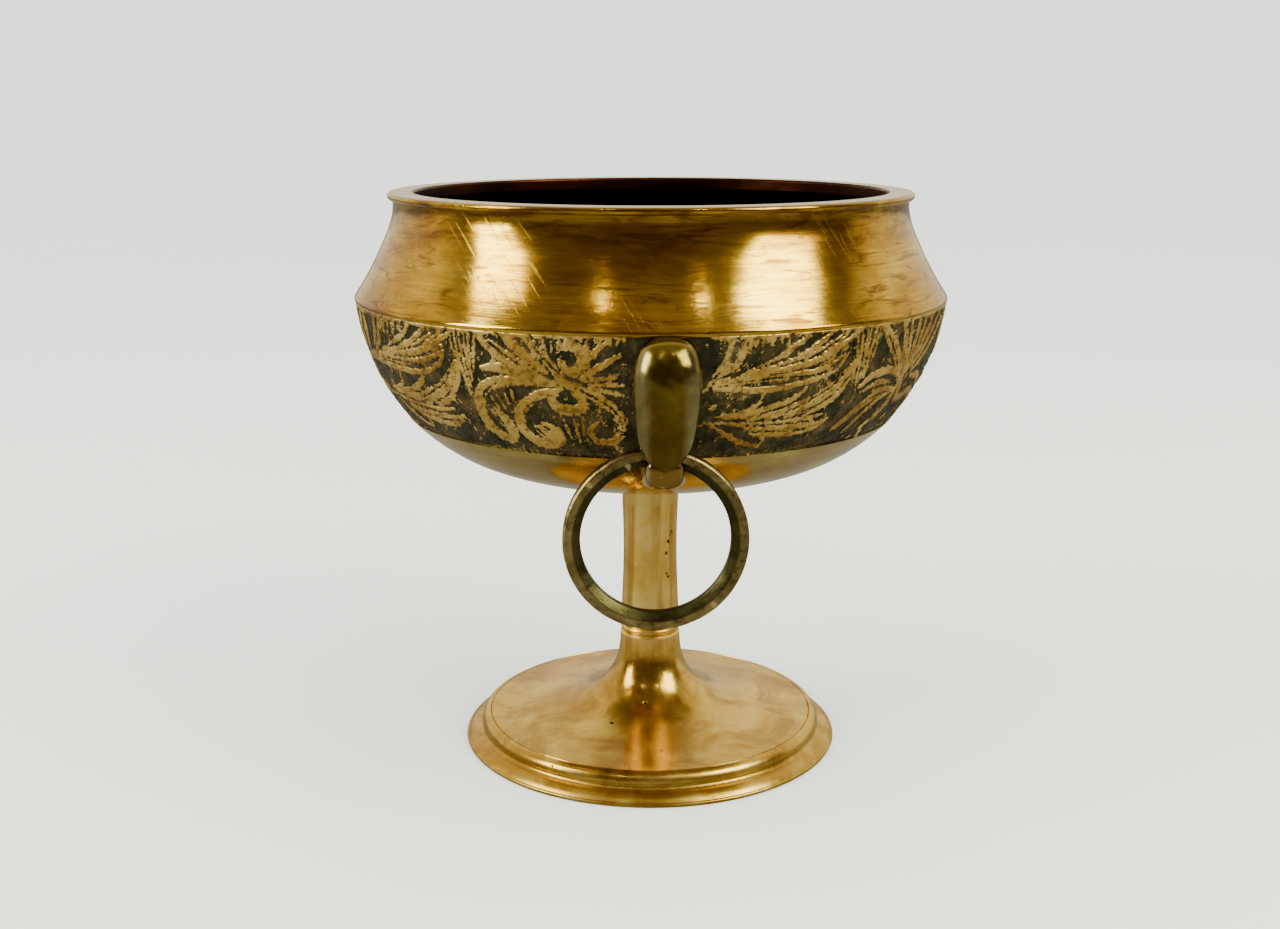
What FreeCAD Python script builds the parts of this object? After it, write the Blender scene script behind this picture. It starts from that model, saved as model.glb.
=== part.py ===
import FreeCAD, Part

import math
import os

# Footed brass bowl with two drop-ring handles, in millimetres.
# Z is up from the table, and the bowl, stem and foot are turned about the Z axis.
# One hook and ring face -Y, and the other pair faces +Y.

Point = FreeCAD.Vector
CENTRE = Point(0, 0, 0)
UP = Point(0, 0, 1)

# Rim and neck
RIM_TOP = 123.5
RIM_THICKNESS = 1.5
RIM_OUTER_RADIUS = 55.9
RIM_INNER_RADIUS = 50.3
RIM_LAND = 2.5
RIM_ROUND = 0.5
NECK_RADIUS = 54.8
NECK_FOOT_RADIUS = 63.3

# Shoulder crease, belly and floor
SHOULDER_RADIUS = 63.45
SHOULDER_TOP = 102.2
SHOULDER_HEIGHT = 101.75
WALL = 2.3
BOWL_BASE = 61.0
BASE_PAD_RADIUS = 7.5

# Etched band round the belly, cut back as a shallow recess
BAND_TOP = 101.2
BAND_TOP_RADIUS = 63.3
BAND_MIDDLE = 89.0
BAND_MIDDLE_RADIUS = 60.4
BAND_BOTTOM = 76.6
BAND_BOTTOM_RADIUS = 53.1
BAND_DEPTH = 0.4

# Threaded boss under the bowl
BOSS_RADIUS = 4.0
BOSS_LENGTH = 6.5
THREAD_TOP = 60.0

# Stem
STEM_BOTTOM = 24.3
STEM_TOP_RADIUS = 6.5
STEM_WAIST_RADIUS = 6.0
STEM_WAIST_HEIGHT = 45.0
STEM_BOTTOM_RADIUS = 6.6
STEM_BORE_RADIUS = 2.4
SOCKET_PLAY = 0.05
SOCKET_END_PLAY = 0.2
BEAD_HEIGHT = 1.6
GROOVE_WIDTH = 0.45
GROOVE_DEPTH = 0.45

# Foot
FOOT_SPIGOT_LENGTH = 4.8
FOOT_BORE_RADIUS = 2.2
FOOT_NECK_RADIUS = 6.75
DISC_RADIUS = 36.5
DISC_HEIGHT = 5.8
LINE_WIDTH = 0.3
LINE_DEPTH = 0.3
STEP_RADIUS = 38.6
STEP_HEIGHT = 3.6
FLANGE_INNER_RADIUS = 39.4
FLANGE_HEIGHT = 2.45
FLANGE_RADIUS = 42.3
FLANGE_EDGE = 0.9
BASE_INNER_RADIUS = 39.6
SEAT_HEIGHT = 8.5
SEAT_RADIUS = 12.0

# Tie rod, washer and nut, M4
ROD_RADIUS = 2.0
ROD_BOTTOM = 3.2
ROD_TOP = 59.0
ROD_CHAMFER = 0.4
WASHER_RADIUS = 4.5
WASHER_BORE_RADIUS = 2.15
WASHER_THICKNESS = 0.8
NUT_ACROSS_FLATS = 7.0
NUT_HEIGHT = 3.2

# Hooks, cast, each a horn that curls down in front of a lower arm
HORN_HALF_WIDTH = 6.05
ARM_HALF_WIDTH = 3.85
ARM_TOP = 76.15
ARM_BOTTOM = 72.65
HORN_FULLNESS = 2.5
ARM_FULLNESS = 2.0
SECTION_POINTS = 20

# Hook rivets
RIVET_RADIUS = 1.5
RIVET_PLACES = (-3.0, 3.0)
RIVET_HEIGHT = 95.0
RIVET_SEAT = 59.2
RIVET_END = 65.5
RIVET_HEAD_RADIUS = 2.7
RIVET_HEAD_DOME = 0.9
RIVET_HEAD_SKIRT = 1.6

# Drop rings
RING_OUTER_RADIUS = 17.45
RING_INNER_RADIUS = 14.08
RING_DEPTH = 3.2
RING_BEVEL = 0.85
RING_REACH = 58.5
RING_HEIGHT = 62.6
RING_SHIFT = -1.6


def at(radius, height):
    """A point of a turned outline, drawn in the XZ plane."""
    return Point(radius, 0, height)


def lines(*points):
    """Straight edges through the points, in order."""
    return [Part.LineSegment(a, b).toShape() for a, b in zip(points, points[1:])]


def arc(start, middle, end):
    """The circular arc through three points."""
    return Part.Arc(start, middle, end).toShape()


def smooth(points, closed=False):
    """A smooth curve through the points."""
    spline = Part.BSplineCurve()
    spline.interpolate(points, PeriodicFlag=closed)
    return spline.toShape()


def ends(edge):
    """The first and last point of an edge."""
    return edge.valueAt(edge.FirstParameter), edge.valueAt(edge.LastParameter)


def turned(edges):
    """The solid that a closed outline of edges sweeps out about the Z axis."""
    return Part.Face(Part.Wire(edges)).revolve(CENTRE, UP, 360)


def tube(radius, bore, bottom, top):
    """A plain upright tube on the Z axis."""
    outside = Part.makeCylinder(radius, top - bottom, Point(0, 0, bottom))
    return outside.cut(Part.makeCylinder(bore, top - bottom, Point(0, 0, bottom)))


def inward(edge, depth, count):
    """Points along an outline edge, moved into the metal on its left by depth."""
    first, last = edge.FirstParameter, edge.LastParameter
    points = []
    for i in range(count):
        parameter = first + (last - first) * i / (count - 1)
        along = edge.tangentAt(parameter)
        points.append(edge.valueAt(parameter) + Point(-along.z, 0, along.x) * depth)
    return points


def lower_belly():
    """The polished belly, from the pad over the stem out to the etched band."""
    return smooth(
        [
            at(BASE_PAD_RADIUS, BOWL_BASE),
            at(20.0, 61.9),
            at(33.0, 64.6),
            at(42.4, 68.2),
            at(48.4, 72.2),
            at(BAND_BOTTOM_RADIUS, BAND_BOTTOM),
        ]
    )


def banded_belly():
    """The belly under the etched band, up to the shoulder."""
    return arc(
        at(BAND_BOTTOM_RADIUS, BAND_BOTTOM),
        at(BAND_MIDDLE_RADIUS, BAND_MIDDLE),
        at(BAND_TOP_RADIUS, BAND_TOP),
    )


def shoulder():
    """The crisp crease between the belly and the neck."""
    return arc(
        at(BAND_TOP_RADIUS, BAND_TOP),
        at(SHOULDER_RADIUS, SHOULDER_HEIGHT),
        at(NECK_FOOT_RADIUS, SHOULDER_TOP),
    )


def neck():
    """The hollow-sided neck, from the shoulder up to the rim lip."""
    return smooth(
        [
            at(NECK_FOOT_RADIUS, SHOULDER_TOP),
            at(59.9, 107.6),
            at(57.0, 113.4),
            at(55.2, 118.0),
            at(NECK_RADIUS, RIM_TOP - RIM_THICKNESS),
        ]
    )


def bowl_outside():
    """The bowl as a filled solid, with the band cut back and no boss."""
    recess = arc(*inward(banded_belly(), BAND_DEPTH, 3))
    recess_bottom, recess_top = ends(recess)
    lip_start = RIM_OUTER_RADIUS - RIM_ROUND
    lip_bottom = RIM_TOP - RIM_THICKNESS
    lip = arc(
        at(lip_start, lip_bottom),
        at(RIM_OUTER_RADIUS, RIM_TOP - RIM_THICKNESS / 2),
        at(lip_start, RIM_TOP),
    )
    return turned(
        lines(at(0, RIM_TOP), at(0, BOWL_BASE), at(BASE_PAD_RADIUS, BOWL_BASE))
        + [lower_belly()]
        + lines(at(BAND_BOTTOM_RADIUS, BAND_BOTTOM), recess_bottom)
        + [recess]
        + lines(recess_top, at(BAND_TOP_RADIUS, BAND_TOP))
        + [shoulder(), neck()]
        + lines(at(NECK_RADIUS, lip_bottom), at(lip_start, lip_bottom))
        + [lip]
        + lines(at(lip_start, RIM_TOP), at(0, RIM_TOP))
    )


def bowl_cavity():
    """The hollow of the bowl, one wall inside its outline, closed in to the rim's inner land."""
    floor = smooth(inward(lower_belly(), WALL, 7))
    belly = arc(*inward(banded_belly(), WALL, 3))
    floor_start, floor_end = ends(floor)
    belly_start, belly_end = ends(belly)
    land_bottom = at(RIM_INNER_RADIUS, RIM_TOP - RIM_LAND)
    round_start = at(RIM_INNER_RADIUS, RIM_TOP - RIM_ROUND)
    round_end = at(RIM_INNER_RADIUS + RIM_ROUND, RIM_TOP)
    round_inset = RIM_ROUND * (1 - math.sqrt(0.5))
    round_middle = at(RIM_INNER_RADIUS + round_inset, RIM_TOP - round_inset)
    inner_neck = smooth(
        [
            belly_end,
            inward(shoulder(), WALL, 3)[1],
            inward(neck(), WALL, 5)[1],
            inward(neck(), WALL, 5)[2],
            at(51.7, 117.6),
            land_bottom,
        ]
    )
    return turned(
        lines(at(0, RIM_TOP), at(0, floor_start.z), floor_start)
        + [floor]
        + lines(floor_end, belly_start)
        + [belly, inner_neck]
        + lines(land_bottom, round_start)
        + [arc(round_start, round_middle, round_end)]
        + lines(round_end, at(0, RIM_TOP))
    )


def rivet_shanks():
    """The front hook's two rivet shanks, side by side, from their heads out into the horn."""
    return [
        Part.makeCylinder(
            RIVET_RADIUS,
            RIVET_END - RIVET_SEAT,
            Point(x, -RIVET_SEAT, RIVET_HEIGHT),
            Point(0, -1, 0),
        )
        for x in RIVET_PLACES
    ]


def to_rear(shape):
    """The same shape on the far side of the bowl."""
    return shape.rotated(CENTRE, UP, 180)


def make_bowl(outside, cavity):
    """The cast bowl, with its boss under the floor and its rivet holes."""
    boss = Part.makeCylinder(BOSS_RADIUS, BOSS_LENGTH, Point(0, 0, BOWL_BASE - BOSS_LENGTH))
    thread = Part.makeCylinder(
        ROD_RADIUS,
        THREAD_TOP - BOWL_BASE + BOSS_LENGTH,
        Point(0, 0, BOWL_BASE - BOSS_LENGTH),
    )
    bowl = outside.cut(cavity).fuse(boss).cut(thread)
    for shank in rivet_shanks():
        bowl = bowl.cut(shank).cut(to_rear(shank))
    return bowl.removeSplitter()


def make_stem():
    """The waisted stem, with a groove over its lower bead and a socket at each end."""
    bead_top = STEM_BOTTOM + BEAD_HEIGHT
    groove_top = bead_top + GROOVE_WIDTH
    socket = BOSS_RADIUS + SOCKET_PLAY
    top_socket = BOWL_BASE - BOSS_LENGTH - SOCKET_END_PLAY
    bottom_socket = STEM_BOTTOM + FOOT_SPIGOT_LENGTH + SOCKET_END_PLAY
    side = smooth(
        [
            at(STEM_BOTTOM_RADIUS, groove_top),
            at(6.3, 34.0),
            at(STEM_WAIST_RADIUS, STEM_WAIST_HEIGHT),
            at(6.2, 53.0),
            at(STEM_TOP_RADIUS, BOWL_BASE),
        ]
    )
    bead = arc(
        at(STEM_BOTTOM_RADIUS - GROOVE_DEPTH, STEM_BOTTOM),
        at(STEM_BOTTOM_RADIUS, STEM_BOTTOM + BEAD_HEIGHT / 2),
        at(STEM_BOTTOM_RADIUS - GROOVE_DEPTH, bead_top),
    )
    return turned(
        lines(at(socket, STEM_BOTTOM), at(STEM_BOTTOM_RADIUS - GROOVE_DEPTH, STEM_BOTTOM))
        + [bead]
        + lines(
            at(STEM_BOTTOM_RADIUS - GROOVE_DEPTH, bead_top),
            at(STEM_BOTTOM_RADIUS, groove_top),
        )
        + [side]
        + lines(
            at(STEM_TOP_RADIUS, BOWL_BASE),
            at(socket, BOWL_BASE),
            at(socket, top_socket),
            at(STEM_BORE_RADIUS, top_socket),
            at(STEM_BORE_RADIUS, bottom_socket),
            at(socket, bottom_socket),
            at(socket, STEM_BOTTOM),
        )
    )


def make_foot():
    """The trumpet foot: neck, flare, flat disc, fine line, step, cove and sloping flange."""
    spigot_top = STEM_BOTTOM + FOOT_SPIGOT_LENGTH
    seam_radius = FOOT_NECK_RADIUS - GROOVE_DEPTH
    flare = smooth(
        [
            at(FOOT_NECK_RADIUS, STEM_BOTTOM - GROOVE_WIDTH),
            at(6.95, 20.6),
            at(8.1, 16.3),
            at(13.4, 10.3),
            at(21.0, 7.6),
            at(29.0, 6.4),
            at(DISC_RADIUS, DISC_HEIGHT),
        ]
    )
    step = arc(
        at(DISC_RADIUS + LINE_WIDTH, DISC_HEIGHT),
        at(38.1, 5.1),
        at(STEP_RADIUS, STEP_HEIGHT),
    )
    cove = arc(
        at(STEP_RADIUS, STEP_HEIGHT),
        at(38.8, 2.75),
        at(FLANGE_INNER_RADIUS, FLANGE_HEIGHT),
    )
    flange = arc(
        at(FLANGE_INNER_RADIUS, FLANGE_HEIGHT),
        at(40.8, 1.95),
        at(FLANGE_RADIUS - FLANGE_EDGE / 2, FLANGE_EDGE),
    )
    edge = arc(
        at(FLANGE_RADIUS - FLANGE_EDGE / 2, FLANGE_EDGE),
        at(FLANGE_RADIUS, FLANGE_EDGE / 2),
        at(FLANGE_RADIUS - FLANGE_EDGE / 2, 0),
    )
    hollow = smooth(
        [
            at(BASE_INNER_RADIUS, 0),
            at(36.4, 2.6),
            at(28.0, 4.8),
            at(19.0, 6.4),
            at(SEAT_RADIUS, SEAT_HEIGHT),
        ]
    )
    return turned(
        lines(
            at(FOOT_BORE_RADIUS, spigot_top),
            at(BOSS_RADIUS, spigot_top),
            at(BOSS_RADIUS, STEM_BOTTOM),
            at(seam_radius, STEM_BOTTOM),
            at(FOOT_NECK_RADIUS, STEM_BOTTOM - GROOVE_WIDTH),
        )
        + [flare]
        + lines(
            at(DISC_RADIUS, DISC_HEIGHT),
            at(DISC_RADIUS + LINE_WIDTH / 2, DISC_HEIGHT - LINE_DEPTH),
            at(DISC_RADIUS + LINE_WIDTH, DISC_HEIGHT),
        )
        + [step, cove, flange, edge]
        + lines(at(FLANGE_RADIUS - FLANGE_EDGE / 2, 0), at(BASE_INNER_RADIUS, 0))
        + [hollow]
        + lines(
            at(SEAT_RADIUS, SEAT_HEIGHT),
            at(FOOT_BORE_RADIUS, SEAT_HEIGHT),
            at(FOOT_BORE_RADIUS, spigot_top),
        )
    )


def make_tie_rod():
    """The stud that draws bowl, stem and foot together, with chamfered ends."""
    tip = ROD_RADIUS - ROD_CHAMFER
    return turned(
        lines(
            at(0, ROD_BOTTOM),
            at(tip, ROD_BOTTOM),
            at(ROD_RADIUS, ROD_BOTTOM + ROD_CHAMFER),
            at(ROD_RADIUS, ROD_TOP - ROD_CHAMFER),
            at(tip, ROD_TOP),
            at(0, ROD_TOP),
            at(0, ROD_BOTTOM),
        )
    )


def make_washer():
    """The washer between the nut and the foot's seat."""
    return tube(WASHER_RADIUS, WASHER_BORE_RADIUS, SEAT_HEIGHT - WASHER_THICKNESS, SEAT_HEIGHT)


def make_nut():
    """The hexagon nut on the stud's lower end, its corners turned off at both faces."""
    top = SEAT_HEIGHT - WASHER_THICKNESS
    bottom = top - NUT_HEIGHT
    corner = NUT_ACROSS_FLATS / math.sqrt(3)
    corners = [
        Point(corner * math.cos(math.pi / 3 * i), corner * math.sin(math.pi / 3 * i), bottom)
        for i in range(7)
    ]
    prism = Part.Face(Part.makePolygon(corners)).extrude(Point(0, 0, NUT_HEIGHT))
    face_radius = 0.95 * NUT_ACROSS_FLATS / 2
    slope = (corner - face_radius) * math.tan(math.radians(30))
    turned_off = turned(
        lines(
            at(ROD_RADIUS, bottom),
            at(face_radius, bottom),
            at(corner, bottom + slope),
            at(corner, top - slope),
            at(face_radius, top),
            at(ROD_RADIUS, top),
            at(ROD_RADIUS, bottom),
        )
    )
    return prism.common(turned_off)


def hook_section(inner, outer, half_width, fullness=HORN_FULLNESS):
    """A rounded section of the hook, from its inner side to its outer side, each (reach, height)."""
    reach, height = ((a + b) / 2 for a, b in zip(inner, outer))
    out, up = ((b - a) / 2 for a, b in zip(inner, outer))
    points = []
    for i in range(SECTION_POINTS):
        angle = 2 * math.pi * i / SECTION_POINTS
        side = math.copysign(abs(math.cos(angle)) ** (2 / fullness), math.cos(angle))
        lift = math.copysign(abs(math.sin(angle)) ** (2 / fullness), math.sin(angle))
        points.append(Point(half_width * side, -reach - out * lift, height + up * lift))
    return Part.Wire(smooth(points, closed=True))


def make_horn():
    """The teardrop horn, from its root in the wall down to the tip that meets the arm."""
    sections = [
        hook_section((54.0, 98.6), (63.2, 101.4), 0.50 * HORN_HALF_WIDTH),
        hook_section((54.0, 95.0), (67.3, 98.9), 0.90 * HORN_HALF_WIDTH),
        hook_section((55.0, 91.0), (69.0, 94.0), HORN_HALF_WIDTH),
        hook_section((60.3, 87.9), (68.9, 89.4), 0.97 * HORN_HALF_WIDTH),
        hook_section((61.7, 84.6), (67.9, 85.2), 0.90 * HORN_HALF_WIDTH),
        hook_section((62.0, 81.0), (66.5, 80.8), 0.77 * HORN_HALF_WIDTH),
        hook_section((62.1, 78.2), (64.9, 77.8), 0.45 * HORN_HALF_WIDTH),
        hook_section((61.4, 75.8), (63.2, 75.2), 0.25 * HORN_HALF_WIDTH),
    ]
    return Part.makeLoft(sections, True, False)


def make_arm():
    """The lower arm that the ring hangs on, from the wall out to a rounded end under the horn."""
    sections = [
        (47.0, ARM_BOTTOM, ARM_TOP, ARM_HALF_WIDTH),
        (58.5, ARM_BOTTOM, ARM_TOP, ARM_HALF_WIDTH),
        (61.2, ARM_BOTTOM + 0.2, ARM_TOP, 0.92 * ARM_HALF_WIDTH),
        (62.9, ARM_BOTTOM + 0.9, ARM_TOP - 0.5, 0.55 * ARM_HALF_WIDTH),
    ]
    wires = [
        hook_section((reach, bottom), (reach, top), half_width, ARM_FULLNESS)
        for reach, bottom, top, half_width in sections
    ]
    return Part.makeLoft(wires, True, False)


def make_hook(outside):
    """The front hook, fitted to the bowl's wall and bored for its rivets."""
    hook = make_horn().fuse(make_arm()).cut(outside)
    for shank in rivet_shanks():
        hook = hook.cut(shank)
    return hook


def rivet_head():
    """A domed rivet head on the Z axis, with a skirt below that is trimmed to the wall."""
    dome = arc(
        at(RIVET_HEAD_RADIUS, 0),
        at(0.72 * RIVET_HEAD_RADIUS, 0.6 * RIVET_HEAD_DOME),
        at(0, RIVET_HEAD_DOME),
    )
    skirt = lines(
        at(0, RIVET_HEAD_DOME),
        at(0, -RIVET_HEAD_SKIRT),
        at(RIVET_HEAD_RADIUS, -RIVET_HEAD_SKIRT),
        at(RIVET_HEAD_RADIUS, 0),
    )
    return turned([dome] + skirt)


def make_rivets(wall):
    """The two rivets of the front hook, their heads seated on the inside of the bowl's wall."""
    rivets = []
    for x, shank in zip(RIVET_PLACES, rivet_shanks()):
        head = rivet_head()
        head.rotate(CENTRE, Point(1, 0, 0), -90)
        head.translate(Point(x, -RIVET_SEAT, RIVET_HEIGHT))
        rivets.append(head.cut(wall).fuse(shank))
    return Part.makeCompound(rivets)


def make_ring():
    """The front drop ring, its four edges bevelled, hanging a little to one side."""
    half = RING_DEPTH / 2
    outline = [
        (RING_INNER_RADIUS + RING_BEVEL, -half),
        (RING_OUTER_RADIUS - RING_BEVEL, -half),
        (RING_OUTER_RADIUS, RING_BEVEL - half),
        (RING_OUTER_RADIUS, half - RING_BEVEL),
        (RING_OUTER_RADIUS - RING_BEVEL, half),
        (RING_INNER_RADIUS + RING_BEVEL, half),
        (RING_INNER_RADIUS, half - RING_BEVEL),
        (RING_INNER_RADIUS, RING_BEVEL - half),
    ]
    corners = [at(radius, height) for radius, height in outline]
    ring = turned(lines(*corners, corners[0]))
    ring.rotate(CENTRE, Point(1, 0, 0), 90)
    ring.translate(Point(RING_SHIFT, -RING_REACH, RING_HEIGHT))
    return ring


def main():
    os.makedirs("parts", exist_ok=True)
    outside = bowl_outside()
    cavity = bowl_cavity()
    hook = make_hook(outside)
    rivets = make_rivets(outside.cut(cavity))
    ring = make_ring()
    nodes = {
        "bowl": make_bowl(outside, cavity),
        "stem": make_stem(),
        "foot": make_foot(),
        "tie_rod": make_tie_rod(),
        "foot_washer": make_washer(),
        "foot_nut": make_nut(),
        "front_hook": hook,
        "rear_hook": to_rear(hook),
        "front_ring": ring,
        "rear_ring": to_rear(ring),
        "front_hook_rivets": rivets,
        "rear_hook_rivets": to_rear(rivets),
    }
    for name, shape in nodes.items():
        shape.exportStep(f"parts/{name}.step")


main()
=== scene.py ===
import math

import bmesh
import bpy
import numpy as np
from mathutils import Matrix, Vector


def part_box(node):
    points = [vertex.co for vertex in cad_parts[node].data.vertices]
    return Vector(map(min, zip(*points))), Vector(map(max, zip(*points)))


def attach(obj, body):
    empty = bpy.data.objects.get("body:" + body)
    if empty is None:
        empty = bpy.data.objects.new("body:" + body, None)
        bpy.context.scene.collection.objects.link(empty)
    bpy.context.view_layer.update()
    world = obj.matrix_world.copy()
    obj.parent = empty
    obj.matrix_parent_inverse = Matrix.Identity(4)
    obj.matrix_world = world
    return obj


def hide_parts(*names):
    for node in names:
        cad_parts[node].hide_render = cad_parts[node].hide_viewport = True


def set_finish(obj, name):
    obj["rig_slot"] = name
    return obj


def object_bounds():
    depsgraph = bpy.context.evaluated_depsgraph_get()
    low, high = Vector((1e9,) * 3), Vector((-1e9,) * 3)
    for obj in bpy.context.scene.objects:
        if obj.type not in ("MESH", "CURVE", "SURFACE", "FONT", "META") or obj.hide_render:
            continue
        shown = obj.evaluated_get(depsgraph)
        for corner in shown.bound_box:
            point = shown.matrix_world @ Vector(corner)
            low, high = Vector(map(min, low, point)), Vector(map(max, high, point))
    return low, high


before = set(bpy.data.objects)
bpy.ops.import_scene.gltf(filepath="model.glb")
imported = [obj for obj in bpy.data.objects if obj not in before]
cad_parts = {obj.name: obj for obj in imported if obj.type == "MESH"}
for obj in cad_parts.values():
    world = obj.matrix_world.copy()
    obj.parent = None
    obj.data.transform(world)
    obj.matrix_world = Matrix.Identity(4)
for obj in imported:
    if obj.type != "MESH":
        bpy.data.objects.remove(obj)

CAD_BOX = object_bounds()
MM = 0.001

# The belly's outline is an arc of this centre and radius, in mm, on which the etched band lies.
ARC_REACH = 18.254
ARC_HEIGHT = 105.463
ARC_RADIUS = 45.247

# The etched band, in mm and degrees round from the front hook.
BAND_BOTTOM = 76.6
BAND_TOP = 101.2
BAND_SEAT = 0.42
ETCH_DEPTH = 0.32
BAND_MEAN_RADIUS = 60.2
MM_PER_DEGREE = math.radians(BAND_MEAN_RADIUS)

# The etching is worked out on an unrolled map of spots this far apart, in mm.
SPOT = 0.12


# ---------------------------------------------------------------- etched band: its drawing

# Each stroke is (width in mm, points), and each point is (degrees from the motif's centre, height
# in mm). A leaf fans out to the left of a sheaf of grass, and a scroll flower or a spray grows on
# its right.
LEAF = [
    (1.0, [(-30, 94.0), (-28, 97.0), (-26.8, 101.0)]),
    (1.1, [(-29.5, 93.6), (-26, 96.3), (-24.7, 101.0)]),
    (1.1, [(-25.5, 93.8), (-20, 95.8), (-15.5, 98.6), (-13.2, 100.6)]),
    (1.2, [(-24.5, 93.5), (-18, 95.2), (-11, 98.8), (-8.5, 101.0)]),
    (1.4, [(-22, 93.4), (-14, 95.6), (-7, 99.0), (-4, 101.3)]),
    (1.2, [(-20, 93.2), (-11, 95.6), (-4, 99.3), (-1.5, 101.5)]),
    (1.5, [(-37, 91.6), (-30, 92.4), (-20, 93.2), (-11, 95.0), (-5, 97.4)]),
    (1.3, [(-30, 92.1), (-18, 92.6), (-10, 94.0), (-5, 96.2)]),
    (1.1, [(-37, 90.8), (-30, 91.4), (-21, 90.9), (-13, 91.3), (-7, 93.3), (-4.5, 96.4)]),
    (0.8, [(-29, 85.4), (-25, 86.0), (-21.5, 87.8), (-20.5, 90.0)]),
    (1.4, [(-27, 85.2), (-20, 86.4), (-15, 88.2), (-12.2, 90.3)]),
    (1.1, [(-23, 84.8), (-16, 86.0), (-11, 88.0)]),
    (1.5, [(-19, 84.6), (-11, 87.2), (-6, 90.2), (-2.3, 94.6)]),
    (1.4, [(-15, 84.5), (-8, 87.0), (-4, 90.8), (-1.6, 95.0)]),
    (1.1, [(-11, 84.6), (-6, 87.0), (-2.8, 91.0), (-1.0, 95.8)]),
    (0.9, [(-29, 84.4), (-20, 83.6), (-11, 83.7), (-6.5, 84.3)]),
    (1.2, [(-23, 82.7), (-13, 82.2), (-7, 82.5), (-4.6, 83.2)]),
    (1.1, [(-21, 81.4), (-13, 80.7), (-7.5, 81.2), (-5, 82.8)]),
    (0.9, [(-29, 83.4), (-25, 81.0), (-21, 79.2), (-18.5, 78.7)]),
    (0.7, [(-18.4, 78.8), (-18.2, 80.4), (-21.5, 81.8)]),
    (1.4, [(-35, 92.5), (-33.5, 96.0), (-34, 100.5)]),
    (1.2, [(-37.5, 93.0), (-38, 97.0), (-36.5, 100.8)]),
    (1.0, [(-36, 86.2), (-33, 84.4), (-29, 84.0)]),
]
LEAF_GAPS = [
    (0.5, [(-27, 92.3), (-18, 92.75), (-9.7, 92.9), (-6, 93.9)]),
    (0.5, [(-20.5, 93.7), (-14.7, 94.0), (-9.7, 95.1), (-5.5, 97.2)]),
    (0.55, [(-18.5, 94.9), (-12, 96.5), (-8, 98.5), (-5, 100.6)]),
    (0.7, [(-22.5, 94.8), (-16, 97.0), (-11.5, 99.6), (-9.5, 101.0)]),
    (0.4, [(-30, 91.8), (-20, 91.9), (-11, 92.3)]),
    (0.5, [(-16, 85.4), (-10.5, 87.6), (-6, 90.4), (-3.6, 93.5)]),
    (0.5, [(-20.5, 85.7), (-15, 87.0), (-10.5, 89.0)]),
    (0.45, [(-12.5, 85.0), (-7.2, 87.0), (-3.9, 90.0), (-2.2, 93.4)]),
    (0.45, [(-23, 83.5), (-13, 83.0), (-6, 83.4)]),
    (0.4, [(-19, 82.0), (-11, 81.5), (-6.5, 82.1)]),
]
SHEAF = [
    (0.6, [(-1.6, 101.6), (-1.2, 97.0), (-0.6, 91.0), (0.2, 87.5)]),
    (0.5, [(-0.4, 101.8), (-0.2, 96.0), (0.2, 90.0)]),
    (0.5, [(0.8, 101.8), (0.5, 96.0), (0.6, 91.0)]),
    (0.6, [(2.0, 101.8), (1.4, 96.0), (0.9, 91.0)]),
    (0.5, [(3.2, 101.6), (2.4, 97.0), (1.3, 92.0)]),
    (0.5, [(-2.8, 101.2), (-2.2, 97.0), (-1.4, 93.5)]),
]
FLOWER = [
    (1.7, [(11.5, 101.6), (16.5, 96.0), (19.5, 92.2), (24.5, 89.8), (28.5, 86.5), (29.3, 83.2),
           (27, 80.8), (24, 80.6), (22.6, 82.4), (24, 84.0)]),
    (2.4, [(3, 101.4), (6.5, 98.0), (10.5, 95.5), (16.5, 91.9)]),
    (1.9, [(8.2, 101.4), (12, 97.6), (16, 94.0)]),
    (1.9, [(3.5, 94.0), (8, 94.2), (13.5, 92.6)]),
    (2.1, [(18, 91.8), (9.5, 92.2), (3.5, 90.2), (1, 86.5), (1.5, 82.0), (4.5, 79.6), (7, 80.8),
           (6.4, 84.0), (4.4, 85.6)]),
    (2.4, [(4.2, 85.4), (5.6, 83.2), (6.2, 80.8)]),
    (2.0, [(18.5, 91.2), (13.5, 89.2), (9.7, 86.0), (9.3, 82.0), (11.5, 79.5), (15.5, 79.3),
           (16.8, 82.0), (14.0, 83.6)]),
    (2.2, [(12.5, 82.6), (14.2, 81.2), (15.8, 81.6)]),
    (2.0, [(17.2, 90.6), (16.4, 88.3), (18.5, 86.8), (21.8, 87.3), (22.2, 89.2), (20.5, 90.3)]),
    (2.0, [(18.6, 99.0), (21.6, 99.0), (22.8, 96.6), (21.3, 94.6), (19.5, 94.9), (18.8, 96.6)]),
    (1.1, [(21.5, 93.0), (26.5, 96.0), (30, 98.5)]),
    (0.9, [(22.5, 92.6), (27.5, 93.6), (31, 95.0)]),
    (0.9, [(23.5, 92.0), (30, 92.4)]),
    (0.8, [(23.5, 91.5), (29.5, 90.3)]),
    (1.0, [(21, 94.0), (25, 98.0), (27.5, 101.0)]),
    (0.8, [(5.0, 98.8), (6.4, 96.4), (5.4, 95.0)]),
    (0.5, [(4, 88.4), (5.2, 86.0)]),
    (0.5, [(5.6, 89.6), (6.8, 86.0)]),
    (0.5, [(7.2, 90.2), (7.8, 86.8)]),
    (0.5, [(8.8, 90.6), (8.8, 88.0)]),
    (0.5, [(18.0, 85.2), (18.6, 81.0)]),
    (0.5, [(20.0, 85.4), (20.2, 79.5)]),
    (0.5, [(21.6, 85.8), (21.4, 81.8)]),
]
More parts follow.
